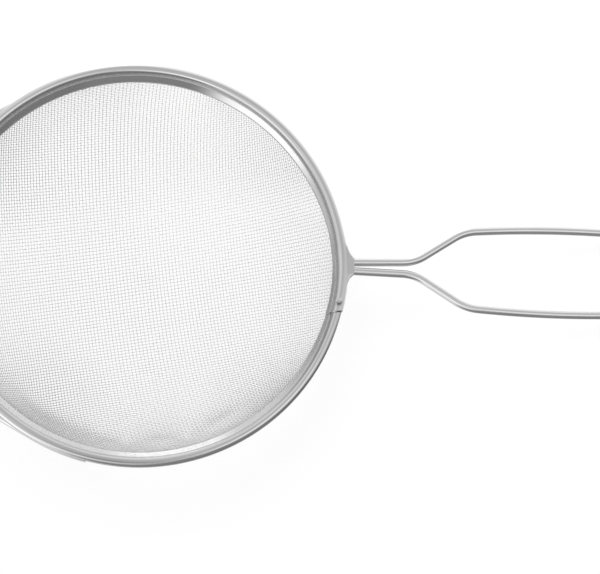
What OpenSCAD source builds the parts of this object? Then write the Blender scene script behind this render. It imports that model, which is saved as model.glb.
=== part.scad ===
// Round wire strainer: a pressed bowl of woven wire cloth held in a folded sheet rim,
// carried by one bent wire that is both the hoop inside the rim and the long loop handle,
// with a wide wire rest on the side away from the handle.
// Frame: +Z up and square to the rim, +X along the handle, origin under the bowl.

/* [Rim] */
// Outer diameter over the rolled edge of the rim
rim_d = 200; // [160:5:240]
// Sheet thickness of the folded rim strip
strip_t = 0.5; // [0.4:0.1:0.7]
// Length of the pinching flange, from the hoop wire's centre to its lower edge
flange_len = 6.8; // [5:0.1:9]
// Angle of the flange below the rim plane
flange_deg = 49; // [40:1:65]
// Where the strip's overlapping end stops, degrees from the handle
seam_deg = 13.7; // [12:0.1:25]
// Where the overlap runs out on the other side of the handle
overlap_deg = 9.7; // [8:0.1:20]
// How much the overlapping end's flange stops short of the one under it
overlap_step = 0.4; // [0.2:0.1:1]
// Diameter of the pressed dimple that locks the overlap
dimple_d = 2.6; // [1.5:0.1:3]
// Depth of that dimple
dimple_depth = 0.4; // [0.35:0.05:0.45]
// Where the dimple sits, degrees from the handle
dimple_deg = 10.6; // [9:0.1:11.5]

/* [Cloth] */
// Thickness of the woven cloth, two crossing wires
cloth_t = 0.9; // [0.6:0.1:0.9]
// Sphere radius of the bowl over the radius of the cloth where it leaves the rim
bowl_round = 1.021; // [1.005:0.001:1.3]
// Depth of the flat pressed into the bottom of the bowl
base_flat = 0.6; // [0.5:0.1:1.5]
// Openings across the bowl: a plain grid that stands for the far finer weave
grid_count = 12; // [6:2:12]
// Width of the bars of that grid, which leaves about the open share of the weave
grid_bar = 4; // [3:0.5:5]
// Heading of the grid, as the weave runs, degrees from the handle
grid_deg = 9; // [-15:1:15]

/* [Frame wire] */
// Wire diameter of the hoop and handle
wire_d = 4; // [3.5:0.1:5]
// Gap where the wire's two ends meet inside the rim, opposite the handle
hoop_gap = 0.6; // [0.3:0.1:3]
// Bend radius where each leg turns out of the hoop
neck_bend = 7; // [6:0.5:9]
// Distance of each leg from the handle's middle line at the neck
neck_half = 2.2; // [2.1:0.05:3]
// How far the sheet of the neck reaches past the rim
nose_reach = 4.2; // [3.5:0.1:6]
// Angle at which the legs part between the neck and the splay
neck_deg = 1.6; // [0.5:0.1:3]

/* [Handle] */
// Length of the handle past the rim
handle_len = 190; // [160:5:240]
// Distance past the rim where the splay starts
splay_start = 34.9; // [25:0.1:45]
// Angle of the splayed stretch
splay_deg = 32.3; // [25:0.1:40]
// Bend radius at the start of the splay
splay_bend_in = 22; // [15:1:28]
// Bend radius at the end of the splay
splay_bend_out = 25; // [12:1:30]
// Greatest distance of each leg from the handle's middle line
grip_half = 21.6; // [20:0.1:24]
// Distance past the rim of that widest place
grip_mid = 114; // [95:1:120]
// Bow radius of the long legs
grip_bow = 620; // [500:10:900]

/* [Rest] */
// Wire diameter of the rest
rest_wire_d = 4; // [3:0.1:4]
// Where each foot of the rest starts under the rim, degrees from the handle
foot_start_deg = 104; // [95:1:112]
// Where each leg of the rest leaves the rim, degrees from the handle
leg_leave_deg = 120; // [115:1:125]
// How far the rest's cross bar reaches past the rim
rest_reach = 22; // [18:1:30]
// Bend radius of the rest's two corners
rest_bend = 18; // [10:1:24]

/* [Hidden] */
$fn = 96;
fit_gap = 0.05;
cloth_gap = 0.25;
foot_out = 0.3;
lap = 0.15;
lap_step = 0.01;
big = 3 * rim_d;

wire_r = wire_d / 2;
rim_r = rim_d / 2;
bead_r = wire_r + strip_t;
hoop_r = rim_r - bead_r;
cavity_r = wire_r + fit_gap;
slot_w = cloth_t + 2 * fit_gap;
flange_w = slot_w + 2 * strip_t;

// Rim section: the flange runs down and inward from the hoop wire's centre
flange_dir = [-cos(flange_deg), -sin(flange_deg)];
cloth_edge = [hoop_r, 0] + flange_len * flange_dir;
cloth_top = wire_r + cloth_gap;
cloth_r = bowl_round * cloth_edge[0];
cloth_drop = sqrt(pow(cloth_r, 2) - pow(cloth_edge[0], 2));
ball_z = cloth_r + cloth_t / 2 - base_flat;
edge_deg = asin(1 / bowl_round);
grid_step = 2 * edge_deg / grid_count;
grid_bar_half = grid_bar / 2 / cloth_r * 180 / PI;
grid_r = cloth_r * sin(edge_deg - 2 * grid_bar_half);
grid_corner = grid_r - grid_bar;
hoop_z = ball_z - cloth_drop - cloth_edge[1];

// Neck: each leg leaves the hoop on an arc that touches the hoop circle and the leg's line
nose_x = rim_r + nose_reach;
neck_dir = [cos(neck_deg), sin(neck_deg)];
neck_side = [-sin(neck_deg), cos(neck_deg)];
neck_off = [nose_x, neck_half] * neck_side;
neck_centre = neck_off * neck_side + neck_bend * neck_side
    + sqrt(pow(hoop_r + neck_bend, 2) - pow(neck_off + neck_bend, 2)) * neck_dir;
neck_azimuth = atan2(neck_centre[1], neck_centre[0]);
leg_start = neck_centre - neck_bend * neck_side;

// Splay: a straight stretch between two bends
splay_x = rim_r + splay_start;
splay_corner = leg_start + (splay_x - leg_start[0]) / neck_dir[0] * neck_dir;
splay_dir = [cos(splay_deg), sin(splay_deg)];
splay_side = [-sin(splay_deg), cos(splay_deg)];
corner_cut = splay_bend_in * tan((splay_deg - neck_deg) / 2);
bend_in_start = splay_corner - corner_cut * neck_dir;
bend_in_end = splay_corner + corner_cut * splay_dir;
bend_in_centre = bend_in_start + splay_bend_in * neck_side;

// Grip: one long bowed arc, then a round end on the middle line
bow_centre = [rim_r + grip_mid, grip_half - grip_bow];
bow_off = (splay_corner - bow_centre) * splay_side - splay_bend_out;
bend_out_centre = bow_centre + bow_off * splay_side
    + sqrt(pow(grip_bow - splay_bend_out, 2) - pow(bow_off, 2)) * splay_dir;
bend_out_start = bend_out_centre + splay_bend_out * splay_side;
bow_from = bend_out_centre - bow_centre;
bow_from_deg = atan2(bow_from[1], bow_from[0]);
end_span = handle_len - wire_r - grip_mid;
end_r = (pow(grip_bow, 2) - pow(bow_centre[1], 2) - pow(end_span, 2))
    / (2 * (grip_bow - end_span));
end_centre = [rim_r + handle_len - wire_r - end_r, 0];
bow_to = end_centre - bow_centre;
bow_to_deg = atan2(bow_to[1], bow_to[0]);

// Rest: its feet lie under the rolled edge, then its legs run straight off the rim circle
foot_r = hoop_r + foot_out;
rest_z = hoop_z - bead_r - rest_wire_d / 2 - fit_gap;
leg_from = foot_r * [cos(leg_leave_deg), sin(leg_leave_deg)];
leg_dir = [-sin(leg_leave_deg), cos(leg_leave_deg)];
leg_side = [-leg_dir[1], leg_dir[0]];
bar_x = -(rim_r + rest_reach - rest_wire_d / 2);
leg_run = (bar_x + rest_bend * (1 - leg_side[0]) - leg_from[0]) / leg_dir[0];
leg_to = leg_from + leg_run * leg_dir;
corner_y = leg_to[1] + rest_bend * leg_side[1];

// A round wire along an arc, from one angle to another. A lapped piece is a hair thinner
// and runs a little way inside its two neighbours, so that the wire is one solid.
module wire_arc(centre, radius, from_deg, to_deg, wire, lapped = false) {
    extra = lapped ? lap / radius * 180 / PI : 0;
    translate([centre[0], centre[1], 0])
        rotate([0, 0, from_deg - extra])
            rotate_extrude(angle = to_deg - from_deg + 2 * extra)
                translate([radius, 0]) circle(wire / 2 - (lapped ? lap_step : 0));
}

// A straight wire between two points, lapped as above
module wire_run(from, to, wire, lapped = false) {
    run = to - from;
    extra = lapped ? lap : 0;
    translate([from[0], from[1], 0])
        rotate([0, 0, atan2(run[1], run[0])])
            translate([-extra, 0, 0])
                rotate([0, 90, 0])
                    cylinder(h = norm(run) + 2 * extra, r = wire / 2 - (lapped ? lap_step : 0));
}

// A flat band in the rim section, along the flange from the hoop wire's centre
module flange_band(from, to, width) {
    translate([hoop_r, 0])
        rotate(180 + flange_deg)
            translate([from, -width / 2]) square([to - from, width]);
}

// One side of the wire that makes the hoop and the handle
module frame_side() {
    butt_deg = 180 - hoop_gap / 2 / hoop_r * 180 / PI;
    wire_arc([0, 0], hoop_r, neck_azimuth, butt_deg, wire_d);
    wire_arc(neck_centre, neck_bend, 180 + neck_azimuth, 270 + neck_deg, wire_d, true);
    wire_run(leg_start, bend_in_start, wire_d);
    wire_arc(bend_in_centre, splay_bend_in, 270 + neck_deg, 270 + splay_deg, wire_d, true);
    wire_run(bend_in_end, bend_out_start, wire_d);
    wire_arc(bend_out_centre, splay_bend_out, bow_from_deg, 90 + splay_deg, wire_d, true);
    wire_arc(bow_centre, grip_bow, bow_to_deg, bow_from_deg, wire_d);
}

module frame_wire() {
    color("silver") translate([0, 0, hoop_z]) {
        frame_side();
        mirror([0, 1, 0]) frame_side();
        wire_arc(end_centre, end_r, -bow_to_deg, bow_to_deg, wire_d, true);
    }
}

// Outside of the folded strip's section, grown by a second layer of sheet where it overlaps
module strip_outside(extra, flange_to) {
    translate([hoop_r, 0]) circle(bead_r + extra);
    flange_band(0, flange_to, flange_w + 2 * extra);
}

// Room for the hoop wire and the edge of the cloth
module strip_inside() {
    translate([hoop_r, 0]) circle(cavity_r);
    flange_band(0, flange_len + wire_d, slot_w);
}

// Flat sleeve over the two bends of the neck, in plan
module neck_plan(inset, reach) {
    half = neck_centre[1] - inset;
    difference() {
        translate([hoop_r, -half]) square([reach - hoop_r, 2 * half]);
        for (side = [-1, 1])
            translate([neck_centre[0], side * neck_centre[1]])
                circle(neck_bend - cavity_r - strip_t + inset);
    }
}

module rim_strip() {
    neck_h = 2 * (cavity_r + fit_gap);
    dimple_floor_d = dimple_d - 2 * dimple_depth;
    color("lightgray") translate([0, 0, hoop_z])
        difference() {
            union() {
                rotate_extrude() strip_outside(0, flange_len);
                rotate([0, 0, -seam_deg])
                    rotate_extrude(angle = seam_deg + overlap_deg)
                        strip_outside(strip_t, flange_len - overlap_step);
                linear_extrude(height = neck_h + 2 * strip_t, center = true)
                    neck_plan(0, nose_x);
            }
            rotate_extrude() strip_inside();
            linear_extrude(height = neck_h, center = true)
                neck_plan(strip_t, nose_x + lap);
            rotate([0, 0, -dimple_deg])
                translate([hoop_r, 0, bead_r + strip_t - dimple_depth])
                    cylinder(h = bead_r, d1 = dimple_floor_d, d2 = dimple_floor_d + 2 * bead_r);
        }
}

// The cloth's section: a ball wall, flat at the bottom, and a straight edge in the rim
module cloth_section() {
    edge_dir = [cloth_edge[0], -cloth_drop] / cloth_r;
    translate([0, hoop_z]) flange_band(cloth_top, flange_len, cloth_t);
    translate([cloth_edge[0], hoop_z + cloth_edge[1]]) circle(cloth_t / 2);
    intersection() {
        translate([0, ball_z])
            difference() {
                circle(cloth_r + cloth_t / 2);
                circle(cloth_r - cloth_t / 2);
            }
        translate([0, ball_z])
            polygon([[0, 0], [0, -big], big * edge_dir]);
        square(big);
    }
}

// Near and far edge, from the middle, of opening number k of a row or a column. The steps are
// equal along the bowl, so they get shorter in plan towards the rim.
function grid_near(k) = cloth_r * sin(k * grid_step + grid_bar_half);
function grid_far(k) = min(cloth_r * sin((k + 1) * grid_step - grid_bar_half), grid_r);

// One quarter of the grid's openings, in plan
module grid_quarter() {
    last = grid_count / 2 - 1;
    for (i = [0:last], j = [0:last])
        if (norm([grid_near(i), grid_near(j)]) < grid_corner)
            translate([grid_near(i), grid_near(j)])
                square([grid_far(i) - grid_near(i), grid_far(j) - grid_near(j)]);
}

// All of its openings, within the cloth's straight edge
module grid_plan() {
    intersection() {
        for (turn = [0, 180], flip = [0, 1])
            rotate(turn) mirror([0, flip]) grid_quarter();
        circle(grid_r);
    }
}

module mesh_bowl() {
    color("gainsboro")
        difference() {
            rotate_extrude() cloth_section();
            rotate([0, 0, grid_deg])
                translate([0, 0, -base_flat])
                    linear_extrude(height = hoop_z) grid_plan();
        }
}

// One side of the rest: foot, leg and corner
module rest_side() {
    wire_arc([0, 0], foot_r, foot_start_deg, leg_leave_deg, rest_wire_d);
    wire_run(leg_from, leg_to, rest_wire_d, true);
    wire_arc([bar_x + rest_bend, corner_y], rest_bend, leg_leave_deg, 180, rest_wire_d);
}

module rest_hook() {
    color("darkgray") translate([0, 0, rest_z]) {
        rest_side();
        mirror([0, 1, 0]) rest_side();
        wire_run([bar_x, -corner_y], [bar_x, corner_y], rest_wire_d, true);
    }
}

frame_wire();
rim_strip();
mesh_bowl();
rest_hook();
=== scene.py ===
"""Looks of a round wire strainer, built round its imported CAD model.

The woven cloth, the folded rim and the bent frame wire replace their plain CAD solids. The rest
keeps its own and gets a drawn steel finish. Sizes are in millimetres and turn into metres where
a mesh is made. The frame is the CAD's: +Z up and square to the rim, +X along the handle.
"""

import logging
import math
from dataclasses import dataclass
from enum import Enum

import bpy
import numpy as np
from bpy.types import Material, NodeSocket, NodeTree, Object
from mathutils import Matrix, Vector


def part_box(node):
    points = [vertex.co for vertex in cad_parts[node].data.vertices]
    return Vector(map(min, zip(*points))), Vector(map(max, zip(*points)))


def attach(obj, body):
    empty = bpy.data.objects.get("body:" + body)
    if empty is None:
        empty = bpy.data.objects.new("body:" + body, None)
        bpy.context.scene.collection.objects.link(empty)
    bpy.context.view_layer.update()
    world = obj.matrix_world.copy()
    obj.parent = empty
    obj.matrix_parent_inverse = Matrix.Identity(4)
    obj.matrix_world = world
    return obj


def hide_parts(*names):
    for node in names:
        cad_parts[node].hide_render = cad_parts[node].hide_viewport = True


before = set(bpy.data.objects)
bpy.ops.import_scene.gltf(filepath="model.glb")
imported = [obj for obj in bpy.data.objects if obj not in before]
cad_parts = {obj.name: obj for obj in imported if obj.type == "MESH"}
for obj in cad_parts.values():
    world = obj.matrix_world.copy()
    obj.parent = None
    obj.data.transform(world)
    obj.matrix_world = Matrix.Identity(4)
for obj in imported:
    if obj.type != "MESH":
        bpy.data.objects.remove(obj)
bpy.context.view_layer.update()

MM = 0.001
TINY = 1e-9
LOG = logging.getLogger("strainer")
Array = np.ndarray


class Node(str, Enum):
    """The CAD nodes of the strainer."""

    FRAME_WIRE = "frame_wire"
    RIM_STRIP = "rim_strip"
    MESH_BOWL = "mesh_bowl"
    REST_HOOK = "rest_hook"


class Slot(str, Enum):
    """The record's material slots."""

    DRAWN_WIRE = "drawn_wire"
    RIM_SHEET = "rim_sheet"
    WIRE_CLOTH = "wire_cloth"


class Family(Enum):
    """The two families of wires in a woven cloth."""

    WARP = 0
    WEFT = 1


# Shapes


def smooth_step(value: Array, start: float, end: float) -> Array:
    """0 before start, 1 after end and an even curve between them."""
    t = np.clip((np.asarray(value, float) - start) / (end - start), 0, 1)
    return t * t * (3 - 2 * t)


def bell(value: Array) -> Array:
    """1 at 0 and falling evenly to both sides."""
    return np.exp(-(value**2))


def signed_turn(degrees: Array) -> Array:
    """The same angles between -180 and 180 degrees."""
    return (np.asarray(degrees, float) + 180) % 360 - 180


def on_circle(degrees: Array) -> Array:
    """Unit vectors in a plane, at angles from its first axis."""
    return np.stack([np.cos(np.radians(degrees)), np.sin(np.radians(degrees))], -1)


def bearing(vector: Array) -> float:
    """Angle of a vector in a plane from its first axis, in degrees."""
    return math.degrees(math.atan2(vector[1], vector[0]))


def unit(vectors: Array) -> Array:
    """The same directions at length one."""
    return vectors / np.linalg.norm(vectors, axis=1)[:, None]


def distances(points: Array) -> Array:
    """How far each point lies along the line that they make."""
    return np.concatenate([[0], np.cumsum(np.linalg.norm(np.diff(points, axis=0), axis=1))])


def add_object(name: str, data: bpy.types.ID) -> Object:
    """Puts an object with this data into the scene.

    Args:
        name: the object's name.
        data: its mesh, lamp or camera.

    Returns:
        Object: the new object.
    """
    item = bpy.data.objects.new(name, data)
    bpy.context.scene.collection.objects.link(item)
    return item


@dataclass(frozen=True)
class OutOfRound:
    """How the real rim departs from a circle: a little oval, and drawn out towards the handle."""

    shift: float = -0.12
    oval: float = 0.52
    neck_pull: float = 0.55
    neck_deg: float = 14.0
    edge_pull: float = 1.2
    edge_deg: float = 28.0

    def hoop(self, azimuth: Array) -> Array:
        """How far the hoop wire stands outside its circle, at degrees from the handle."""
        pull = self.neck_pull * bell(signed_turn(azimuth) / self.neck_deg)
        return self.shift + self.oval * np.cos(np.radians(2 * signed_turn(azimuth))) + pull

    def edge(self, azimuth: Array) -> Array:
        """How far the flange's edge stands outside its usual place, at degrees from the handle."""
        return self.edge_pull * bell(signed_turn(azimuth) / self.edge_deg)


@dataclass(frozen=True)
class StrainerForm:
    """Main sizes of the strainer, in millimetres. The hoop's place comes from the frame."""

    hoop_r: float
    hoop_z: float
    wire_r: float = 2.0
    strip_t: float = 0.5
    flange_len: float = 6.8
    flange_deg: float = 49.0
    cloth_t: float = 0.9
    bowl_round: float = 1.021
    base_flat: float = 0.6
    nose_x: float = 104.2
    bend: OutOfRound = OutOfRound()

    @classmethod
    def from_frame(cls) -> "StrainerForm":
        """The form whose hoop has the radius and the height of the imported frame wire's."""
        low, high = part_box(Node.FRAME_WIRE.value)
        return cls(hoop_r=(high[1] - low[1]) / 2 / MM - cls.wire_r, hoop_z=(low[2] + high[2]) / 2 / MM)

    @property
    def flange_dir(self) -> Array:
        """Unit direction of the flange in the rim section, outward radius first."""
        return on_circle(180 + self.flange_deg)

    @property
    def cloth_edge(self) -> Array:
        """Radius and height of the middle of the cloth where it leaves the rim."""
        return np.array([self.hoop_r, self.hoop_z]) + self.flange_len * self.flange_dir

    @property
    def ball_r(self) -> float:
        """Radius of the middle of the cloth's ball."""
        return self.bowl_round * self.cloth_edge[0]

    @property
    def ball_z(self) -> float:
        """Height of the ball's centre."""
        return self.ball_r + self.cloth_t / 2 - self.base_flat


def build_mesh(name: str, parts: list[tuple[Array, Array, Array]]) -> Object:
    """Makes one smooth object in metres of parts that aren't joined.

    Args:
        name: the object's name.
        parts: for each part its vertices in millimetres, its four-cornered faces, and how far
            along and across the part each vertex lies.

    Returns:
        Object: the new object.
    """
    vertices, faces, places = zip(*parts)
    starts = np.cumsum([0, *(len(part) for part in vertices)])
    points = np.concatenate(vertices) * MM
    corners = np.concatenate([part + start for part, start in zip(faces, starts)])
    mesh = bpy.data.meshes.new(name)
    mesh.vertices.add(len(points))
    mesh.vertices.foreach_set("co", points.ravel())
    mesh.loops.add(corners.size)
    mesh.loops.foreach_set("vertex_index", corners.ravel())
    mesh.polygons.add(len(corners))
    mesh.polygons.foreach_set("loop_start", np.arange(len(corners)) * corners.shape[1])
    mesh.polygons.foreach_set("use_smooth", np.full(len(corners), True))
    layer = mesh.uv_layers.new(name="Along")
    layer.data.foreach_set("uv", np.concatenate(places)[corners.ravel()].ravel())
    mesh.update(calc_edges=True)
    mesh.validate()
    return add_object(name, mesh)


def tube(path: Array, up: Array, radius: float, sides: int) -> tuple[Array, Array]:
    """A closed round tube with flat ends.

    Args:
        path: N by 3 points along its middle.
        up: directions across the path, which set how each ring is turned.
        radius: its radius.
        sides: corners of each ring.

    Returns:
        tuple[Array, Array]: vertices and four-cornered faces.
    """
    along = unit(np.gradient(path, axis=0))
    side = unit(np.cross(along, up))
    top = np.cross(side, along)
    turns = np.arange(sides) * 2 * math.pi / sides
    ring = np.cos(turns)[None, :, None] * side[:, None] + np.sin(turns)[None, :, None] * top[:, None]
    vertices = (path[:, None] + radius * ring).reshape(-1, 3)
    row, corner = np.meshgrid(np.arange(len(path) - 1), np.arange(sides), indexing="ij")
    here, over = row * sides + corner, row * sides + (corner + 1) % sides
    walls = np.stack([here, over, over + sides, here + sides], -1).reshape(-1, 4)
    last = (len(path) - 1) * sides
    fan = np.arange(0, sides - 3, 2)[:, None] + [1, 2, 3]
    hub = np.zeros((len(fan), 1), int)
    caps = [np.hstack([hub, sides - fan]), np.hstack([hub, fan]) + last]
    return vertices, np.concatenate([walls, *caps])


@dataclass(frozen=True)
class Dent:
    """A place where handling has pushed the cloth out of its round shape, in millimetres."""

    azimuth: float
    arc: float
    across: float
    along: float
    depth: float

    def push(self, azimuth: Array, arc: Array) -> Array:
        """How far the cloth stands outside its round shape, at degrees and millimetres of arc."""
        side = np.radians(signed_turn(azimuth - self.azimuth)) * self.arc
        return self.depth * bell(side / self.across) * bell((arc - self.arc) / self.along)


@dataclass
class WovenCloth:
    """A disc of plain woven wire cloth, pressed into a bowl, one piece for each family of wires.

    Its crossings lie as on a net drawn over a ball: each is one pitch along the wire from the
    next, so the openings lean into diamonds towards the rim.
    """

    form: StrainerForm
    wire_d: float = 0.34
    sides: int = 6
    warp_heading: float = 97.2
    weft_heading: float = 10.6
    warp_bow_r: float = 1374.0
    weft_bow_r: float = 626.0
    warp_pitch: float = 1.933
    weft_pitch: float = 1.792
    warp_tighten: float = 0.131
    warp_lean: float = 0.049
    weft_tighten: float = 0.175
    reach_in_slot: float = 2.2
    follow_from: float = 0.35
    reach: int = 82
    fewest_gaps: int = 3
    reference_count: float = 70.0
    wander: float = 0.045
    wander_span: int = 5
    calm_from: float = 0.93
    finish_step: float = 37.0
    seed: int = 11
    # Each at an azimuth and an arc, with its spread across and along, and its depth
    dents: tuple[Dent, ...] = (
        Dent(-122, 92, 25, 14, 2.3),
        Dent(-100, 97, 14, 11, 1.0),
        Dent(-93, 110, 3.0, 12, 1.2),
        Dent(-82, 108, 8, 8, -1.0),
        Dent(-73, 110, 3.5, 10, 1.1),
        Dent(-60, 107, 14, 8, -1.2),
    )

    def pitches(self, family: Family, side: int) -> Array:
        """Gaps between the wires of one family, outward from the middle one.

        Args:
            family: the family.
            side: 1 or -1, the side of its middle wire.

        Returns:
            Array: angles on the ball, in radians.
        """
        share = (np.arange(self.reach) + 0.5) / self.reference_count
        if family is Family.WARP:
            gaps = self.warp_pitch * (1 - self.warp_tighten * share + side * self.warp_lean * share)
        else:
            gaps = self.weft_pitch * (1 - self.weft_tighten * share**2)
        return gaps / self.form.ball_r

    def middle_wire(self, heading: float, bow_r: float, side: int, gaps: Array) -> Array:
        """Crossings along one half of a family's middle wire, which bows gently.

        Args:
            heading: its direction at the bottom of the bowl, in degrees.
            bow_r: radius of its bow.
            side: 1 or -1, the half that runs forwards or backwards.
            gaps: angles between the crossings.

        Returns:
            Array: points on the unit ball, the first at its bottom.
        """
        angle = math.radians(heading) + (0 if side > 0 else math.pi)
        point = np.array([0.0, 0.0, -1.0])
        ahead = np.array([math.cos(angle), math.sin(angle), 0.0])
        points = [point]
        for gap in gaps:
            moved = point * math.cos(gap) + ahead * math.sin(gap)
            ahead = ahead * math.cos(gap) - point * math.sin(gap)
            turn = -side * gap * self.form.ball_r / bow_r
            left = np.cross(-moved, ahead)
            ahead = ahead * math.cos(turn) + left * math.sin(turn)
            point = moved / np.linalg.norm(moved)
            points.append(point)
        return np.array(points)

    @staticmethod
    def next_crossing(known: tuple[Array, Array, Array], angles: tuple[Array, Array]) -> Array:
        """The fourth corner of each opening.

        Args:
            known: its first and second neighbour and the corner opposite it, N points each.
            angles: the angles from it to those two neighbours.

        Returns:
            Array: N points on the unit ball.
        """
        first, second, behind = known
        near, far = np.cos(angles)
        between = np.sum(first * second, -1)
        spread = 1 - between**2
        base = (near - far * between)[:, None] * first + (far - near * between)[:, None] * second
        base /= spread[:, None]
        rise = np.sqrt(np.maximum(1 - np.sum(base * base, -1), 0) / spread)
        normal = np.cross(first, second) * rise[:, None]
        options = np.stack([base + normal, base - normal])
        gaps = np.sum((options - behind) ** 2, -1)
        return np.where((gaps[0] > gaps[1])[:, None], options[0], options[1])

    def crossings(self) -> Array:
        """Every crossing of the net, worked out from its middle wires in one diagonal row after another.

        Returns:
            Array: points on the unit ball, indexed by warp wire and weft wire.
        """
        n = self.reach
        net = np.full((2 * n + 1, 2 * n + 1, 3), np.nan)
        steps = np.arange(n + 1)
        warp_gaps, weft_gaps = ({side: self.pitches(family, side) for side in (1, -1)} for family in Family)
        middle_warp = self.warp_heading, self.warp_bow_r
        middle_weft = self.weft_heading, self.weft_bow_r
        for side in (1, -1):
            net[n + side * steps, n] = self.middle_wire(*middle_weft, side, warp_gaps[side])
            net[n, n + side * steps] = self.middle_wire(*middle_warp, side, weft_gaps[side])
        for p, q in ((1, 1), (1, -1), (-1, 1), (-1, -1)):
            for total in range(2, 2 * n + 1):
                i = np.arange(max(1, total - n), min(n, total - 1) + 1)
                warp, weft = n + p * i, n + q * (total - i)
                known = net[warp, weft - q], net[warp - p, weft], net[warp - p, weft - q]
                angles = weft_gaps[q][total - i - 1], warp_gaps[p][i - 1]
                net[warp, weft] = self.next_crossing(known, angles)
        return net

    def place(self, on_ball: Array, lift: Array) -> tuple[Array, Array]:
        """Carries points of the net to the bowl, its flat base and the straight edge in the rim.

        Args:
            on_ball: N by 3 points on the unit ball.
            lift: how far each lies above the middle of the cloth.

        Returns:
            tuple[Array, Array]: points in millimetres, and the cloth's normals there.
        """
        form = self.form
        arc = np.arccos(np.clip(-on_ball[:, 2], -1, 1)) * form.ball_r
        out = on_ball[:, :2] / np.maximum(np.linalg.norm(on_ball[:, :2], axis=1), TINY)[:, None]
        points = on_ball * form.ball_r + np.array([0, 0, form.ball_z])
        normals = -on_ball.copy()
        past = arc - self.edge_arc
        in_slot = past > 0
        edge, into = form.cloth_edge, -form.flange_dir
        azimuth = np.degrees(np.arctan2(out[:, 1], out[:, 0]))
        calm = 1 - smooth_step(arc / self.edge_arc, self.calm_from, 1.0)
        lift = lift - calm * sum(dent.push(azimuth, arc) for dent in self.dents)
        pull, follow = form.bend.edge(azimuth), smooth_step(arc / self.edge_arc, self.follow_from, 1)
        radius = edge[0] + past * into[0]
        straight = np.column_stack([out * radius[:, None], edge[1] + past * into[1]])
        straight_normals = np.column_stack([-out * into[1], np.full(len(out), into[0])])
        points[in_slot], normals[in_slot] = straight[in_slot], straight_normals[in_slot]
        on_base = points[:, 2] < form.cloth_t / 2
        points[on_base, 2] = form.cloth_t / 2
        normals[on_base] = (0, 0, 1)
        points[:, :2] += out * ((form.bend.hoop(azimuth) + pull) * follow)[:, None]
        points[:, 2] += pull * follow * into[1] / into[0]
        return points + normals * lift[:, None], normals

    @property
    def edge_arc(self) -> float:
        """Distance over the ball from the bottom of the bowl to the rim's flange."""
        return math.asin(1 / self.form.bowl_round) * self.form.ball_r

    def wire_points(self, line: Array) -> tuple[Array, Array] | None:
        """Crossings of one wire within the cloth, with a last point on the cut edge at each end.

        Args:
            line: M by 3 crossings along the wire on the unit ball.

        Returns:
            tuple[Array, Array] | None: the points and their numbers along the wire, or
            None where the wire lies outside the cloth.
        """
        limit = (self.edge_arc + self.reach_in_slot) / self.form.ball_r
        arcs = np.arccos(np.clip(-line[:, 2], -1, 1))
        middle = int(np.nanargmin(arcs))
        if arcs[middle] >= limit:
            return None
        outside = np.flatnonzero(~(arcs < limit))
        start = outside[outside < middle][-1] + 1
        end = outside[outside > middle][0] - 1
        if end - start < self.fewest_gaps:
            return None
        numbers = np.arange(start - 1, end + 2)
        points, arcs = line[numbers], arcs[numbers]
        for last, inner in ((0, 1), (-1, -2)):
            share = (limit - arcs[inner]) / (arcs[last] - arcs[inner])
            cut = points[inner] + (points[last] - points[inner]) * share
            points[last] = cut / np.linalg.norm(cut)
        return points, numbers

    def build(self) -> list[Object]:
        """Weaves both families of wires.

        Returns:
            list[Object]: the warp and the weft.
        """
        net = self.crossings()
        pieces = []
        for family in Family:
            noise = np.random.default_rng(self.seed + family.value)
            parts = []
            for number in range(net.shape[0]):
                line = net[number] if family is Family.WARP else net[:, number]
                found = self.wire_points(line)
                if found is None:
                    continue
                on_ball, crossing = found
                over = 1 - 2 * ((crossing + number + family.value) % 2)
                path, normals = self.place(on_ball, over * self.wire_d / 2)
                across = unit(np.cross(np.gradient(path, axis=0), normals))
                steps = noise.normal(size=len(path) + self.wander_span - 1)
                drift = np.convolve(steps, np.ones(self.wander_span) / self.wander_span, "valid")
                path = path + across * (self.wander * drift)[:, None]
                vertices, faces = tube(path, normals, self.wire_d / 2, self.sides)
                along = distances(path) + self.finish_step * number
                places = np.column_stack([along, np.full(len(path), number)])
                parts.append((vertices, faces, np.repeat(places, self.sides, axis=0)))
            piece = build_mesh(f"cloth_{family.name.lower()}", parts)
            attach(piece, "root")
            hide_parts(Node.MESH_BOWL.value)
            pieces.append(piece)
        return pieces


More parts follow.
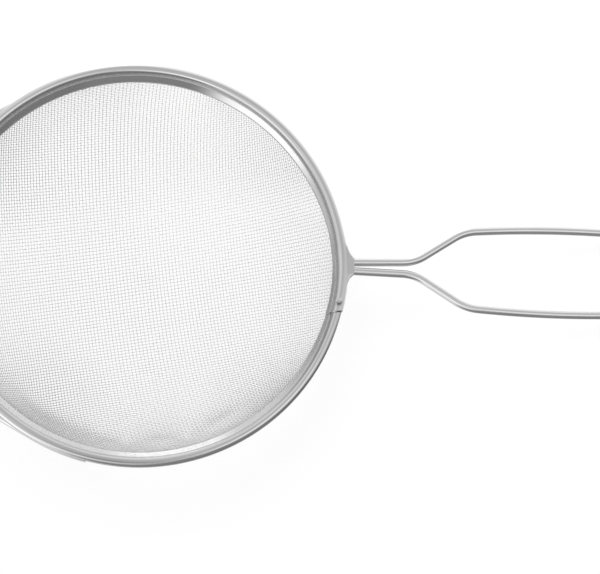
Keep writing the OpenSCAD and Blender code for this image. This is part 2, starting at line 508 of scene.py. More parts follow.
@dataclass
class RimStrip:
    """The sheet strip folded round the hoop wire, with its lapped end, dimple and drawn neck.

    A section is the middle line of the sheet in the plane across the rim, as distance outward
    and height from the middle of the hoop wire. It runs from the inner flange's edge, up over
    the wire and down to the outer flange's edge.
    """

    form: StrainerForm
    seam_deg: float = 13.2
    seam_slant: float = 0.22
    slant_fade: tuple[float, float] = (-12.5, -5.0)
    under_deg: float = 8.4
    lap_fade: tuple[float, float] = (3.0, 12.0)
    lap_end: tuple[float, float] = (-13.2, -12.8)
    end_lift: float = 0.06
    lap_lift: float = 0.49
    fillet_inside: float = 1.7
    fillet_under: float = 1.5
    neck_span_deg: float = 60.0
    flare: float = 2.7
    flare_below: float = 1.8
    flare_above: float = 2.8
    flare_power: float = 1.2
    flare_blend: float = 0.12
    mouth_half: float = 4.05
    mouth_h: float = 2.28
    mouth_drop: float = 0.3
    corner_r: float = 0.8
    crown_sharpness: float = 6.0
    dimple_deg: float = 10.6
    dimple_u: float = -0.1
    dimple_r: float = 1.5
    dimple_floor: float = 0.15
    dimple_depth: float = 0.7
    flange_points: int = 7
    fillet_points: int = 8
    inner_points: int = 12
    outer_points: int = 30
    crown_points: int = 60
    corner_points: int = 12

    def azimuths(self) -> Array:
        """Columns of the strip, closer together at the seam, the dimple and the neck.

        Returns:
            Array: azimuths in degrees.
        """
        # From, to and step, in degrees
        stretches = (
            (-self.seam_deg, -12.6, 0.05),
            (-12.6, -7.6, 0.12),
            (-7.6, 8.0, 0.22),
            (8.0, 26.0, 0.6),
            (26.0, 340.0, 1.0),
            (340.0, 360 - self.under_deg, 0.6),
        )
        parts = [np.linspace(a, b, round((b - a) / step), endpoint=False) for a, b, step in stretches]
        return np.concatenate([*parts, [360 - self.under_deg]])

    def layer(self, azimuth: float) -> float:
        """Extra distance from the wire where the strip rides up over its own end."""
        lift = np.interp(azimuth, self.lap_end, (self.end_lift, self.lap_lift))
        return float((1 - smooth_step(azimuth, *self.lap_fade)) * lift)

    def flared(self, azimuth: float) -> float:
        """How far the outer side is drawn out towards the handle.

        Args:
            azimuth: degrees along the strip.

        Returns:
            float: distance in millimetres.
        """
        if abs(azimuth) > self.neck_span_deg:
            return 0.0
        offset = (self.form.hoop_r + self.form.wire_r) * math.sin(math.radians(azimuth))
        length = self.flare_above if offset > 0 else self.flare_below
        past = max(abs(offset) - self.mouth_half, 0) / length
        return self.flare * math.exp(-(past**self.flare_power))

    def is_open(self, azimuth: float) -> bool:
        """Whether the section is open for the two legs of the handle."""
        offset = abs(self.form.nose_x * math.tan(math.radians(azimuth)))
        return abs(azimuth) < self.neck_span_deg and offset < self.mouth_half

    def outer_path(self, azimuth: float, bead: float) -> Array:
        """Outer half of the section, from the crest of the bead round to its foot.

        Args:
            azimuth: degrees along the strip.
            bead: the bead's radius to the middle of the sheet.

        Returns:
            Array: points of the section.
        """
        half = self.outer_points // 2
        turns = np.linspace(0, math.pi / 2, half + 1)[1:]
        plain = bead * np.column_stack([np.sin(turns), np.cos(turns)])
        flare, is_open = self.flared(azimuth), self.is_open(azimuth)
        reach = bead + flare
        if is_open:
            hoop_r = self.form.hoop_r + self.form.bend.hoop(azimuth)
            reach = self.form.nose_x / math.cos(math.radians(azimuth)) - hoop_r
        corner = 0.0 if is_open else self.corner_r
        run = np.linspace(0, reach - corner, self.crown_points)[1:]
        fall = self.mouth_h - self.mouth_drop * run / reach
        over = np.sqrt(np.maximum(bead**2 - run**2, 0))
        sharp = self.crown_sharpness
        top = np.column_stack([run, np.logaddexp(over * sharp, fall * sharp) / sharp])
        drawn = [top]
        if not is_open:
            bends = np.linspace(0, math.pi / 2, self.corner_points)[1:]
            low = top[-1, 1] - corner
            drawn.append(np.column_stack([run[-1] + corner * np.sin(bends), low + corner * np.cos(bends)]))
            drawn.append(np.array([[reach, 0.0]]))
        line = np.concatenate([[[0.0, bead]], *drawn])
        marks = distances(line)
        at = np.linspace(0, marks[-1], half + 1)[1:]
        drawn_out = np.column_stack([np.interp(at, marks, line[:, 0]), np.interp(at, marks, line[:, 1])])
        share = 1.0 if is_open else float(smooth_step(flare, 0.0, self.flare_blend * self.flare))
        top_half = plain + (drawn_out - plain) * share
        return np.concatenate([top_half, top_half[::-1] * (1, -1)])

    def section(self, azimuth: float) -> Array:
        """The whole section at one place along the strip.

        Args:
            azimuth: degrees along the strip.

        Returns:
            Array: points of the section.
        """
        form = self.form
        layer = self.layer(azimuth)
        bead = form.wire_r + form.strip_t / 2 + layer
        offset = form.cloth_t / 2 + form.strip_t / 2 + layer
        down = form.flange_dir
        length = form.flange_len + float(form.bend.edge(azimuth)) / down[0]
        halves = []
        for way, fillet_r in ((1, self.fillet_inside), (-1, self.fillet_under)):
            reach = math.sqrt((bead + fillet_r) ** 2 - (offset + fillet_r) ** 2)
            swing = math.atan2(offset + fillet_r, reach)
            out = np.array([down[1], -down[0]]) * way
            runs = np.linspace(length, reach, self.flange_points)
            flange = runs[:, None] * down + offset * out
            centre = reach * down + (offset + fillet_r) * out
            turns = np.linspace(0, math.pi / 2 - swing, self.fillet_points + 1)[1:]
            fillet = centre - fillet_r * (np.cos(turns)[:, None] * out + np.sin(turns)[:, None] * down)
            start = math.atan2(fillet[-1][1], fillet[-1][0]) % (2 * math.pi)
            end = math.pi / 2 if way > 0 else 3 * math.pi / 2
            angles = np.linspace(start, end, self.inner_points + 1)[1:]
            arc = bead * np.column_stack([np.cos(angles), np.sin(angles)])
            halves.append(np.concatenate([flange, fillet, arc]))
        return np.concatenate([halves[0], self.outer_path(azimuth, bead), halves[1][::-1]])

    def pit(self, points: Array, azimuths: Array) -> Array:
        """How far the dimple presses down points of a section.

        Args:
            points: the points.
            azimuths: their degrees along the strip.

        Returns:
            Array: distances in millimetres.
        """
        along = np.radians(azimuths + self.dimple_deg) * self.form.hoop_r
        gap = np.hypot(along, points[:, 0] - self.dimple_u) / self.dimple_r
        return self.dimple_depth * (1 - smooth_step(gap, self.dimple_floor, 1.0))

    def slanted(self, points: Array, azimuth: float) -> Array:
        """Degrees along the strip of each point of a section, as the free end is cut on a slant."""
        slant = self.seam_slant * (1 - float(smooth_step(azimuth, *self.slant_fade)))
        return azimuth - slant * (self.form.wire_r + self.form.strip_t - points[:, 0])

    def build(self) -> Object:
        """Folds the strip and gives it the sheet's thickness.

        Returns:
            Object: the rim.
        """
        form, azimuths = self.form, self.azimuths()
        columns, places = [], []
        crease = self.flange_points + self.fillet_points // 2
        for azimuth in azimuths:
            points = self.section(azimuth)
            along = self.slanted(points, azimuth)
            points[:, 1] -= np.where(points[:, 1] > 0, self.pit(points, along), 0)
            turns = np.radians(along)
            radius = form.hoop_r + form.bend.hoop(along) + points[:, 0]
            x, y = radius * np.cos(turns), radius * np.sin(turns)
            columns.append(np.column_stack([x, y, form.hoop_z + points[:, 1]]))
            across = distances(points)
            start = np.full(len(points), math.radians(azimuth) * form.hoop_r)
            places.append(np.column_stack([start, across - across[crease]]))
        rows = len(columns[0])
        column, row = np.meshgrid(np.arange(len(azimuths) - 1), np.arange(rows - 1), indexing="ij")
        here = column * rows + row
        faces = np.stack([here, here + 1, here + rows + 1, here + rows], -1)
        middle = self.flange_points + self.fillet_points + self.inner_points + self.outer_points // 2 - 1
        is_open = np.array([self.is_open(a) for a in azimuths])
        hole = (is_open[:-1] | is_open[1:])[:, None] & (row == middle)
        piece = build_mesh("rim_fold", [(np.concatenate(columns), faces[~hole], np.concatenate(places))])
        thick = piece.modifiers.new("sheet", "SOLIDIFY")
        thick.thickness = form.strip_t * MM
        thick.offset = 0.0
        thick.use_even_offset = True
        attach(piece, "root")
        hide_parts(Node.RIM_STRIP.value)
        return piece


@dataclass
class FrameWire:
    """One bent wire: the hoop inside the rim, the neck, and the long looped handle.

    Half of it is worked out as arcs and straight stretches that touch each other, then mirrored.
    """

    form: StrainerForm
    hoop_gap: float = 0.6
    neck_bend: float = 7.0
    neck_half: float = 2.2
    neck_deg: float = 1.6
    splay_x: float = 134.9
    splay_deg: float = 32.3
    splay_in_r: float = 22.0
    splay_out_r: float = 25.0
    grip_half: float = 21.6
    grip_x: float = 214.0
    grip_bow_r: float = 620.0
    end_x: float = 287.94
    step: float = 1.2
    bend_step_deg: float = 5.0
    follow_margin: float = 0.5
    sides: int = 32

    def arc(self, centre: Array, radius: float, start: float, end: float) -> Array:
        """Points along an arc, without its last one.

        Args:
            centre: its centre.
            radius: its radius.
            start: its first angle, in degrees.
            end: its last angle, in degrees.

        Returns:
            Array: points in plan.
        """
        turn = min(math.degrees(self.step / radius), self.bend_step_deg)
        angles = np.linspace(start, end, math.ceil(abs(end - start) / turn) + 1)[:-1]
        return centre + radius * on_circle(angles)

    def run(self, start: Array, end: Array) -> Array:
        """Points along a straight stretch, without its last one."""
        shares = np.linspace(0, 1, math.ceil(np.linalg.norm(end - start) / self.step) + 1)[:-1]
        return start + (end - start) * shares[:, None]

    def half(self) -> Array:
        """Middle line of the half on the +Y side, from the hoop's gap to the handle's end.

        Returns:
            Array: points in plan.
        """
        hoop_r, bend = self.form.hoop_r, self.neck_bend
        leg, leg_side = on_circle(self.neck_deg), on_circle(self.neck_deg + 90)
        off = np.array([self.form.nose_x, self.neck_half]) @ leg_side
        neck = (off + bend) * leg_side + math.sqrt((hoop_r + bend) ** 2 - (off + bend) ** 2) * leg
        neck_azimuth = bearing(neck)
        leg_start = neck - bend * leg_side
        corner = leg_start + (self.splay_x - leg_start[0]) / leg[0] * leg
        splay, splay_side = on_circle(self.splay_deg), on_circle(self.splay_deg + 90)
        cut = self.splay_in_r * math.tan(math.radians(self.splay_deg - self.neck_deg) / 2)
        bow = np.array([self.grip_x, self.grip_half - self.grip_bow_r])
        out_r = self.splay_out_r
        bow_off = (corner - bow) @ splay_side - out_r
        out = bow + bow_off * splay_side + math.sqrt((self.grip_bow_r - out_r) ** 2 - bow_off**2) * splay
        bow_from = bearing(out - bow)
        span = self.end_x - self.grip_x
        end_r = (self.grip_bow_r**2 - bow[1] ** 2 - span**2) / (2 * (self.grip_bow_r - span))
        end = np.array([self.end_x - end_r, 0.0])
        bow_to = bearing(end - bow)
        butt = 180 - math.degrees(self.hoop_gap / 2 / hoop_r)
        hoop = self.arc(np.zeros(2), hoop_r, butt, neck_azimuth)
        bent = self.arc(neck, bend, 180 + neck_azimuth, 270 + self.neck_deg)
        rim_part = np.concatenate([hoop, bent])
        azimuth = np.degrees(np.arctan2(rim_part[:, 1], rim_part[:, 0]))
        margin = self.follow_margin
        follow = 1 - smooth_step(rim_part[:, 0], hoop_r + margin, self.form.nose_x - margin)
        out_of_round = self.form.bend.hoop(azimuth) * follow / np.linalg.norm(rim_part, axis=1)
        splay_start, in_r = corner - cut * leg, self.splay_in_r
        stretches = (
            rim_part * (1 + out_of_round[:, None]),
            self.run(leg_start, splay_start),
            self.arc(splay_start + in_r * leg_side, in_r, 270 + self.neck_deg, 270 + self.splay_deg),
            self.run(corner + cut * splay, out + out_r * splay_side),
            self.arc(out, out_r, 90 + self.splay_deg, bow_from),
            self.arc(bow, self.grip_bow_r, bow_from, bow_to),
            self.arc(end, end_r, bow_to, 0),
            [[self.end_x, 0.0]],
        )
        return np.concatenate(stretches)

    def build(self) -> Object:
        """Sweeps the round wire along its whole middle line.

        Returns:
            Object: the wire.
        """
        half = self.half()
        plan = np.concatenate([half, half[-2::-1] * (1, -1)])
        path = np.column_stack([plan, np.full(len(plan), self.form.hoop_z)])
        vertices, faces = tube(path, np.array([0.0, 0.0, 1.0]), self.form.wire_r, self.sides)
        girth = 2 * math.pi * self.form.wire_r
        around = np.arange(self.sides) * girth / self.sides
        around = np.minimum(around, girth - around)
        places = np.column_stack([np.repeat(distances(path), self.sides), np.tile(around, len(path))])
        piece = build_mesh("frame_bent_wire", [(vertices, faces, places)])
        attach(piece, "root")
        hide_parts(Node.FRAME_WIRE.value)
        return piece


# Finishes


ORIGIN = (0.0, 0.0, 0.0)
WHITE = (1.0, 1.0, 1.0, 1.0)
SOCKET_TYPES = {1: "NodeSocketFloat", 3: "NodeSocketVector", 4: "NodeSocketColor"}
Sockets = dict[str, NodeSocket]
Feeds = dict[str | int, object]


@dataclass(frozen=True)
class NodeBench:
    """Short ways to add nodes to one node tree, fed with sockets or plain values."""

    tree: NodeTree

    def add(self, kind: str, feeds: Feeds | None = None, **settings: object) -> bpy.types.Node:
        """Adds a node.

        Args:
            kind: its type name.
            feeds: what goes into its inputs, by their names or numbers.
            **settings: attributes to set on it.

        Returns:
            bpy.types.Node: the new node.
        """
        node = self.tree.nodes.new(kind)
        for key, value in settings.items():
            setattr(node, key, value)
        for key, source in (feeds or {}).items():
            if isinstance(source, NodeSocket):
                self.tree.links.new(source, node.inputs[key])
            else:
                node.inputs[key].default_value = source
        return node

    def out(self, kind: str, *feeds: object, **settings: object) -> NodeSocket:
        """The first output of a new node whose inputs are fed in their own order."""
        return self.add(kind, dict(enumerate(feeds)), **settings).outputs[0]

    def math(self, operation: str, *feeds: object) -> NodeSocket:
        """The result of a Math node."""
        return self.out("ShaderNodeMath", *feeds, operation=operation)

    def vector(self, operation: str, *feeds: object) -> NodeSocket:
        """The vector that a Vector Math node gives."""
        return self.out("ShaderNodeVectorMath", *feeds, operation=operation)

    def noise(self, place: object, scale: object, detail: float) -> NodeSocket:
        """The height of a noise at a place."""
        feeds = {"Vector": place, "Scale": scale, "Detail": detail}
        return self.add("ShaderNodeTexNoise", feeds).outputs["Fac"]

    def ramp(self, value: object, start: float, end: float, low: float, high: float) -> NodeSocket:
        """An even curve from low at start to high at end."""
        return self.out("ShaderNodeMapRange", value, start, end, low, high, interpolation_type="SMOOTHSTEP")


def node_material(name: str) -> tuple[Material, NodeBench]:
    """Makes a material with an empty node tree.

    Args:
        name: the material's name.

    Returns:
        tuple[Material, NodeBench]: the material and the bench for its nodes.
    """
    material = bpy.data.materials.new(name)
    material.use_nodes = True
    material.node_tree.nodes.clear()
    return material, NodeBench(material.node_tree)


class EffectGroup:
    """A shader node group that materials share. The defaults of its sockets also say their types."""

    name = "Effect"
    inputs: dict[str, float | tuple[float, ...]] = {}
    outputs: dict[str, float | tuple[float, ...]] = {}

    @classmethod
    def tree(cls) -> NodeTree:
        """The group's tree, made on first use.

        Returns:
            NodeTree: the shared tree.
        """
        known = bpy.data.node_groups.get(cls.name)
        if known:
            return known
        tree = bpy.data.node_groups.new(cls.name, "ShaderNodeTree")
        for defaults, way in ((cls.inputs, "INPUT"), (cls.outputs, "OUTPUT")):
            for name, value in defaults.items():
                kind = SOCKET_TYPES[len(value) if isinstance(value, tuple) else 1]
                tree.interface.new_socket(name, in_out=way, socket_type=kind).default_value = value
        bench = NodeBench(tree)
        bench.add("NodeGroupOutput", cls.fill(bench, bench.add("NodeGroupInput").outputs))
        return tree

    @classmethod
    def fill(cls, bench: NodeBench, given: Sockets) -> Sockets:
        """Adds the group's own nodes to its bench and gives what its outputs take."""
        raise NotImplementedError

    @classmethod
    def place(cls, bench: NodeBench, **feeds: object) -> Sockets:
        """Places the group in a material and gives its outputs."""
        return bench.add("ShaderNodeGroup", feeds, node_tree=cls.tree()).outputs


class DrawnLines(EffectGroup):
    """Fine lines that rolling or drawing leaves along the steel."""

    name = "Drawn lines"
    inputs = {"Place": ORIGIN, "Along": 0.02, "Across": 6.0, "Depth": 1.0}
    outputs = {"Height": 0.0, "Tone": 0.0}
    broad_noise = (0.35, 2.0)
    fine_noise = (1.6, 3.0)
    fine_share = 0.5

    @classmethod
    def fill(cls, bench: NodeBench, given: Sockets) -> Sockets:
        """Stretches a broad and a fine noise along the steel and sums them.

        Args:
            bench: the group's bench.
            given: its inputs.

        Returns:
            Sockets: the height of the lines and their tone from 0 to 1.
        """
        spread = bench.out("ShaderNodeCombineXYZ", given["Along"], given["Across"], given["Across"])
        place = bench.vector("MULTIPLY", given["Place"], spread)
        fine = bench.math("MULTIPLY", bench.noise(place, *cls.fine_noise), cls.fine_share)
        total = bench.math("ADD", bench.noise(place, *cls.broad_noise), fine)
        tone = bench.math("MULTIPLY", total, 1 / (1 + cls.fine_share))
        return {"Height": bench.math("MULTIPLY", total, given["Depth"]), "Tone": tone}


class HandlingWear(EffectGroup):
    """Small rubbed patches and hairline scratches from use and packing."""

    name = "Handling wear"
    inputs = {"Place": ORIGIN, "Size": 40.0}
    outputs = {"Rubbed": 0.0, "Scratch": 0.0}
    patch_detail = 4.0
    patch_levels = (0.42, 0.68)
    cells_to_patch = 9.0
    scratch_width = 0.012

    @classmethod
    def fill(cls, bench: NodeBench, given: Sockets) -> Sockets:
        """Makes soft patches from noise and scratches from the edges of small cells.

        Args:
            bench: the group's bench.
            given: its inputs.

        Returns:
            Sockets: how rubbed the place is, and whether it lies on a scratch.
        """
        cloud = bench.noise(given["Place"], given["Size"], cls.patch_detail)
        rubbed = bench.ramp(cloud, *cls.patch_levels, 0.0, 1.0)
        scale = bench.math("MULTIPLY", given["Size"], cls.cells_to_patch)
        feeds = {"Vector": given["Place"], "Scale": scale}
        cells = bench.add("ShaderNodeTexVoronoi", feeds, feature="DISTANCE_TO_EDGE")
        line = bench.math("LESS_THAN", cells.outputs["Distance"], cls.scratch_width)
        return {"Rubbed": rubbed, "Scratch": bench.math("MULTIPLY", line, rubbed)}


class SteelTone(EffectGroup):
    """Steel colour that drifts a little between a dark and a light grey."""

    name = "Steel tone"
    inputs = {"Place": ORIGIN, "Size": 25.0, "Shade": 0.5, "Dark": WHITE, "Light": WHITE}
    outputs = {"Color": WHITE}
    drift_detail = 3.0
    drift_share = 0.5
    light_share = 0.66

    @classmethod
    def fill(cls, bench: NodeBench, given: Sockets) -> Sockets:
        """Blends the two greys by a slow noise and the shade given.

        Args:
            bench: the group's bench.
            given: its inputs.

        Returns:
            Sockets: the colour.
        """
        drift = bench.noise(given["Place"], given["Size"], cls.drift_detail)
        drift = bench.math("MULTIPLY", drift, cls.drift_share)
        share = bench.math("MULTIPLY", bench.math("ADD", drift, given["Shade"]), cls.light_share)
        # Inputs 6 and 7 and output 2 are the Mix node's colours
        feeds = {"Factor": share, 6: given["Dark"], 7: given["Light"]}
        mix = bench.add("ShaderNodeMix", feeds, data_type="RGBA", clamp_factor=True)
        return {"Color": mix.outputs[2]}


class PaintedShade(EffectGroup):
    """Painted shade: darker steel along a line of a sheet or round a point of it."""

    name = "Painted shade"
    inputs = {
        "Place": ORIGIN,
        "Color": WHITE,
        "Centre": ORIGIN,
        "Directions": (1.0, 1.0, 0.0),
        "Reach": 1.0,
        "Loss": 0.3,
    }
    outputs = {"Color": WHITE}

    @classmethod
    def fill(cls, bench: NodeBench, given: Sockets) -> Sockets:
        """Darkens the colour by the distance from the centre in the directions that count.

        Args:
            bench: the group's bench.
            given: its inputs.

        Returns:
            Sockets: the darkened colour.
        """
        offset = bench.vector("SUBTRACT", given["Place"], given["Centre"])
        counted = bench.vector("MULTIPLY", offset, given["Directions"])
        length = bench.add("ShaderNodeVectorMath", {0: counted}, operation="LENGTH").outputs["Value"]
        near = bench.ramp(bench.math("DIVIDE", length, given["Reach"]), 0.0, 1.0, 1.0, 0.0)
        keep = bench.math("SUBTRACT", 1.0, bench.math("MULTIPLY", near, given["Loss"]))
        feeds = {0: given["Color"], "Scale": keep}
        return {"Color": bench.add("ShaderNodeVectorMath", feeds, operation="SCALE").outputs[0]}


class Place(str, Enum):
    """Coordinates of a finish: millimetres along and across a strip or wire, or metres in the frame."""

    STRIP = "UV"
    FRAME = "Object"


@dataclass(frozen=True)
class ShadeMark:
    """One mark of painted shade: its centre, how much each direction counts, its reach and the colour it
    takes.
    """

    centre: tuple[float, float]
    directions: tuple[float, float]
    reach: float
    loss: float


@dataclass(frozen=True)
class SteelFinish:
    """A stainless steel finish with drawn lines, wear, marks of painted shade and a drifting tone."""

    name: str
    dark: float
    light: float
    roughness: float
    rough_swing: float
    along: float
    across: float
    line_depth: float
    bump: float
    place: Place = Place.STRIP
    shade_marks: tuple[ShadeMark, ...] = ()
    shade_place: Place = Place.STRIP
    wear_size: float = 40.0
    bump_height: float = 0.02

    def material(self) -> Material:
        """Builds the node material.

        Returns:
            Material: the finished material.
        """
        material, bench = node_material(self.name)
        places = bench.add("ShaderNodeTexCoord").outputs
        size = {"Along": self.along, "Across": self.across, "Depth": self.line_depth}
        lines = DrawnLines.place(bench, Place=places[self.place.value], **size)
        body = places[Place.FRAME.value]
        wear = HandlingWear.place(bench, Place=body, Size=self.wear_size)
        greys = {"Dark": (*[self.dark] * 3, 1.0), "Light": (*[self.light] * 3, 1.0)}
        color = SteelTone.place(bench, Place=body, Shade=lines["Tone"], **greys)["Color"]
        # Each mark paints shade into the colour: it darkens the steel near its centre
        for mark in self.shade_marks:
            feeds = {"Centre": (*mark.centre, 0.0), "Directions": (*mark.directions, 0.0)}
            feeds |= {"Place": places[self.shade_place.value], "Reach": mark.reach, "Loss": mark.loss}
            color = PaintedShade.place(bench, Color=color, **feeds)["Color"]
        tones = lines["Tone"], wear["Rubbed"]
        swings = [bench.math("MULTIPLY", tone, self.rough_swing) for tone in tones]
        rough = bench.math("ADD", bench.math("ADD", *swings), self.roughness - self.rough_swing)
        height = bench.math("SUBTRACT", lines["Height"], wear["Scratch"])
        feeds = {"Strength": self.bump, "Distance": self.bump_height * MM, "Height": height}
        normal = bench.add("ShaderNodeBump", feeds).outputs[0]
        feeds = {"Metallic": 1.0, "Base Color": color, "Roughness": rough, "Normal": normal}
        steel = bench.add("ShaderNodeBsdfPrincipled", feeds)
        bench.add("ShaderNodeOutputMaterial", {"Surface": steel.outputs[0]})
        return material


DRAWN_WIRE = SteelFinish(
    name="Drawn stainless wire",
    dark=0.6,
    light=0.78,
    roughness=0.17,
    rough_swing=0.07,
    along=60.0,
    across=900.0,
    line_depth=0.6,
    bump=0.25,
    place=Place.FRAME,
)
RIM_SHEET = SteelFinish(
    name="Rolled stainless sheet",
    dark=0.54,
    light=0.75,
    roughness=0.16,
    rough_swing=0.06,
    along=0.05,
    across=3.0,
    line_depth=1.0,
    bump=0.35,
    shade_marks=(
        # Painted shade along the crease under the bead, all round the rim
        ShadeMark((0.0, 1.9), (0.0, 1.0), 1.9, 0.3),
        # Painted shade that widens the crease's dark line below the seam
        ShadeMark((575.0, 1.6), (0.05, 1.0), 2.6, 0.25),
        # Painted dark reflection on the bead's outer edge below the seam
        ShadeMark((567.0, 6.8), (0.03, 1.0), 1.6, 0.8),
        # Painted dark reflection on the bead's outer side, on the -Y side of the rim
        ShadeMark((450.0, 5.1), (0.02, 1.0), 1.2, 0.45),
        # Painted shade along the lapped end's cut edge, which also dims the glint there
        ShadeMark((-22.4, 0.0), (1.0, 0.0), 1.0, 0.65),
        # Painted shade in the dimple's pit, which also hides the glint at its bottom
        ShadeMark((-18.0, 5.3), (1.0, 1.0), 2.1, 0.9),
    ),
)
CLOTH_WIRE = SteelFinish(
    name="Woven stainless wire",
    dark=0.84,
    light=0.97,
    roughness=0.3,
    rough_swing=0.08,
    along=0.3,
    across=0.7,
    line_depth=0.4,
    bump=0.15,
    shade_marks=(
        # Painted shade: darker patches of cloth near the wall, three on the -Y side and one on the +Y side
        ShadeMark((-0.05, -0.066), (1.0, 1.0), 0.05, 0.32),
        ShadeMark((0.02, -0.097), (0.5, 1.0), 0.042, 0.16),
        ShadeMark((0.07, -0.064), (1.0, 1.0), 0.045, 0.22),
        ShadeMark((-0.078, 0.06), (1.0, 1.0), 0.05, 0.26),
    ),
    shade_place=Place.FRAME,
)


# Studio


@dataclass(frozen=True)
class SkyCard:
    """A soft patch of the studio's surroundings, brighter or darker than the rest."""

    azimuth: float
    elevation: float
    inner_deg: float
    outer_deg: float
    change: float

    @property
    def direction(self) -> Vector:
        """Unit vector towards the patch's middle."""
        a, e = math.radians(self.azimuth), math.radians(self.elevation)
        return Vector((math.cos(a) * math.cos(e), math.sin(a) * math.cos(e), math.sin(e)))


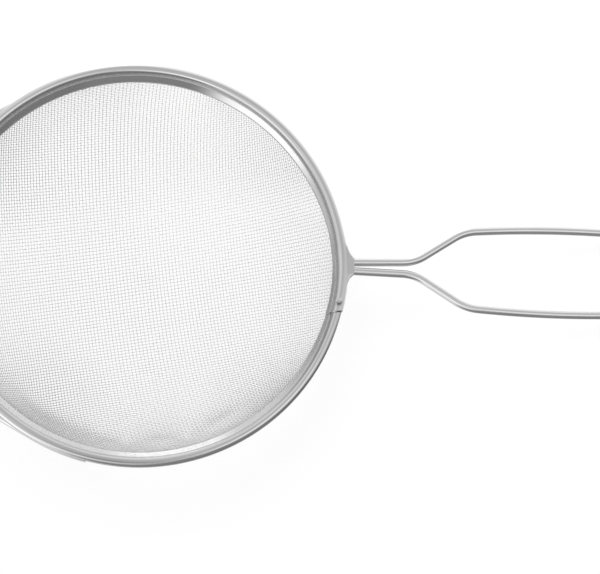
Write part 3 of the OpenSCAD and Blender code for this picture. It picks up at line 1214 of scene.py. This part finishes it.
@dataclass
class Studio:
    """White table, soft lamp, surroundings and camera.

    Lengths are in metres, but the handle's end and the camera's place are in millimetres.
    """

    form: StrainerForm
    handle_end_x: float = 288.0
    floor_r: float = 0.62
    floor_x: float = 0.08
    floor_sides: int = 96
    floor_rings: int = 6
    floor_albedo: float = 0.2
    floor_glow: float = 0.84
    sky_strength: float = 0.6
    around_level: float = 0.94
    darkest: float = 0.26
    lamp_place: tuple[float, float, float] = (-0.4, 0.42, 1.4)
    lamp_aim_x: float = 0.06
    lamp_side: float = 0.7
    lamp_power: float = 9.0
    lens_mm: float = 85.0
    sensor_mm: float = 36.0
    camera_from_hoop: tuple[float, float, float] = (-22.94, -142.8, 673.19)
    camera_turns: tuple[float, float, float] = (10.987, -8.458, -0.107)
    # Each at an azimuth and an elevation, with its inner and outer edge in degrees, and its change
    cards: tuple[SkyCard, ...] = (
        SkyCard(-68, 9, 36, 50, -0.64),
        SkyCard(-35, -8, 16, 38, -0.4),
        SkyCard(-65, -48, 16, 40, -0.32),
        SkyCard(-110, 76, 5, 20, -0.25),
        SkyCard(-20, 68, 4, 18, 0.25),
        SkyCard(-138, 13, 9, 27, 0.7),
        SkyCard(96, -10, 6, 16, 0.8),
        SkyCard(75, -25, 20, 60, 0.3),
        SkyCard(65, 62, 16, 36, -0.28),
        SkyCard(150, 12, 8, 30, -0.4),
        SkyCard(-175, -28, 14, 44, -0.36),
        SkyCard(10, 30, 8, 34, -0.15),
        SkyCard(-100, 43, 9, 21, 0.62),
    )

    def build_floor(self) -> None:
        """Makes the round table top, which the bowl and the handle's end both touch."""
        form = self.form
        outer = form.ball_r + form.cloth_t / 2
        drop = form.ball_z - form.hoop_z
        reach = math.hypot(self.handle_end_x, drop)
        tilt = math.asin((outer - form.wire_r) / reach) - math.atan2(drop, self.handle_end_x)
        n = self.floor_sides
        turns = np.linspace(0, 2 * math.pi, n + 1)[:-1]
        radii = [self.floor_r * (k + 1) / self.floor_rings for k in range(self.floor_rings)]
        points = [(r * math.cos(t) + self.floor_x, r * math.sin(t), 0) for r in radii for t in turns]
        faces = [
            (k * n + i, (k + 1) * n + i, (k + 1) * n + (i + 1) % n, k * n + (i + 1) % n)
            for k in range(self.floor_rings - 1)
            for i in range(n)
        ]
        mesh = bpy.data.meshes.new("table_top")
        mesh.from_pydata(points, [], [tuple(range(n)), *faces])
        mesh.materials.append(self.floor_material())
        floor = add_object("table_top", mesh)
        floor.location = Vector((outer * math.sin(tilt), 0, form.ball_z - outer * math.cos(tilt))) * MM
        floor.rotation_euler = (0, -tilt, 0)
        floor.visible_glossy = False

    def floor_material(self) -> Material:
        """White table that keeps soft shadows and is clear from below.

        Returns:
            Material: the table's material.
        """
        material, bench = node_material("White table")
        paint = bench.out("ShaderNodeBsdfDiffuse", (*[self.floor_albedo] * 3, 1.0))
        seen = bench.add("ShaderNodeLightPath").outputs["Is Camera Ray"]
        glow = bench.out("ShaderNodeEmission", WHITE, bench.math("MULTIPLY", seen, self.floor_glow))
        behind = bench.add("ShaderNodeNewGeometry").outputs["Backfacing"]
        clear = bench.out("ShaderNodeBsdfTransparent")
        lit = bench.out("ShaderNodeAddShader", paint, glow)
        both = bench.out("ShaderNodeMixShader", behind, lit, clear)
        bench.add("ShaderNodeOutputMaterial", {"Surface": both})
        return material

    def build_world(self) -> None:
        """White background for the camera, and surroundings with soft cards for the steel."""
        world = bpy.data.worlds.new("Studio surroundings")
        bpy.context.scene.world = world
        world.use_nodes = True
        world.node_tree.nodes.clear()
        bench = NodeBench(world.node_tree)
        aim = bench.add("ShaderNodeTexCoord").outputs["Generated"]
        level = self.around_level
        for card in self.cards:
            dot = bench.add("ShaderNodeVectorMath", {0: aim, 1: card.direction}, operation="DOT_PRODUCT")
            start, end = (math.cos(math.radians(edge)) for edge in (card.outer_deg, card.inner_deg))
            level = bench.math("ADD", bench.ramp(dot.outputs["Value"], start, end, 0.0, card.change), level)
        strengths = (self.sky_strength, bench.math("MAXIMUM", level, self.darkest), 1.0)
        soft, around, white = (bench.out("ShaderNodeBackground", WHITE, strength) for strength in strengths)
        rays = bench.add("ShaderNodeLightPath").outputs
        steel = bench.out("ShaderNodeMixShader", rays["Is Glossy Ray"], soft, around)
        surface = bench.out("ShaderNodeMixShader", rays["Is Camera Ray"], steel, white)
        bench.add("ShaderNodeOutputWorld", {"Surface": surface})

    def build_lamp(self) -> None:
        """Hangs a soft square lamp aimed at the bowl."""
        lamp = bpy.data.lights.new("key", "AREA")
        lamp.energy, lamp.size = self.lamp_power, self.lamp_side
        item = add_object("key", lamp)
        item.location = self.lamp_place
        aim = Vector((self.lamp_aim_x, 0, self.form.hoop_z * MM)) - Vector(self.lamp_place)
        item.rotation_euler = aim.to_track_quat("-Z", "Y").to_euler()
        item.visible_glossy = False

    def build_camera(self) -> None:
        """Stands the camera where the photograph was taken."""
        lens = bpy.data.cameras.new("camera")
        lens.lens, lens.sensor_width = self.lens_mm, self.sensor_mm
        camera = add_object("camera", lens)
        x, y, z = self.camera_from_hoop
        camera.location = Vector((x, y, self.form.hoop_z + z)) * MM
        camera.rotation_euler = [math.radians(turn) for turn in self.camera_turns]
        bpy.context.scene.camera = camera

    def build(self) -> None:
        """Sets up the whole studio and the view transform."""
        bpy.context.scene.view_settings.view_transform = "Standard"
        self.build_world()
        self.build_floor()
        self.build_lamp()
        self.build_camera()


@dataclass
class Strainer:
    """The whole strainer: new pieces for cloth, rim and frame wire, and a finish for every piece."""

    form: StrainerForm

    def dress(self, node: Node, finish: Material) -> None:
        """Gives every material slot of a kept CAD node its finish."""
        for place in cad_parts[node.value].material_slots:
            place.material = finish

    def build(self) -> None:
        """Builds the pieces in order and finishes them."""
        drawn, sheet, woven = DRAWN_WIRE.material(), RIM_SHEET.material(), CLOTH_WIRE.material()
        pieces = [(cloth, woven) for cloth in WovenCloth(self.form).build()]
        pieces += [(RimStrip(self.form).build(), sheet), (FrameWire(self.form).build(), drawn)]
        for piece, finish in pieces:
            piece.data.materials.append(finish)
            LOG.info("built %s with %d faces", piece.name, len(piece.data.polygons))
        self.dress(Node.REST_HOOK, drawn)
        LOG.info("dressed %s", Node.REST_HOOK.value)


def main() -> None:
    """Builds the strainer and its studio."""
    logging.basicConfig(level=logging.INFO, format="%(name)s: %(message)s")
    form = StrainerForm.from_frame()
    LOG.info("hoop radius %.2f mm at height %.2f mm", form.hoop_r, form.hoop_z)
    Strainer(form).build()
    Studio(form).build()


if __name__ == "__main__":
    main()
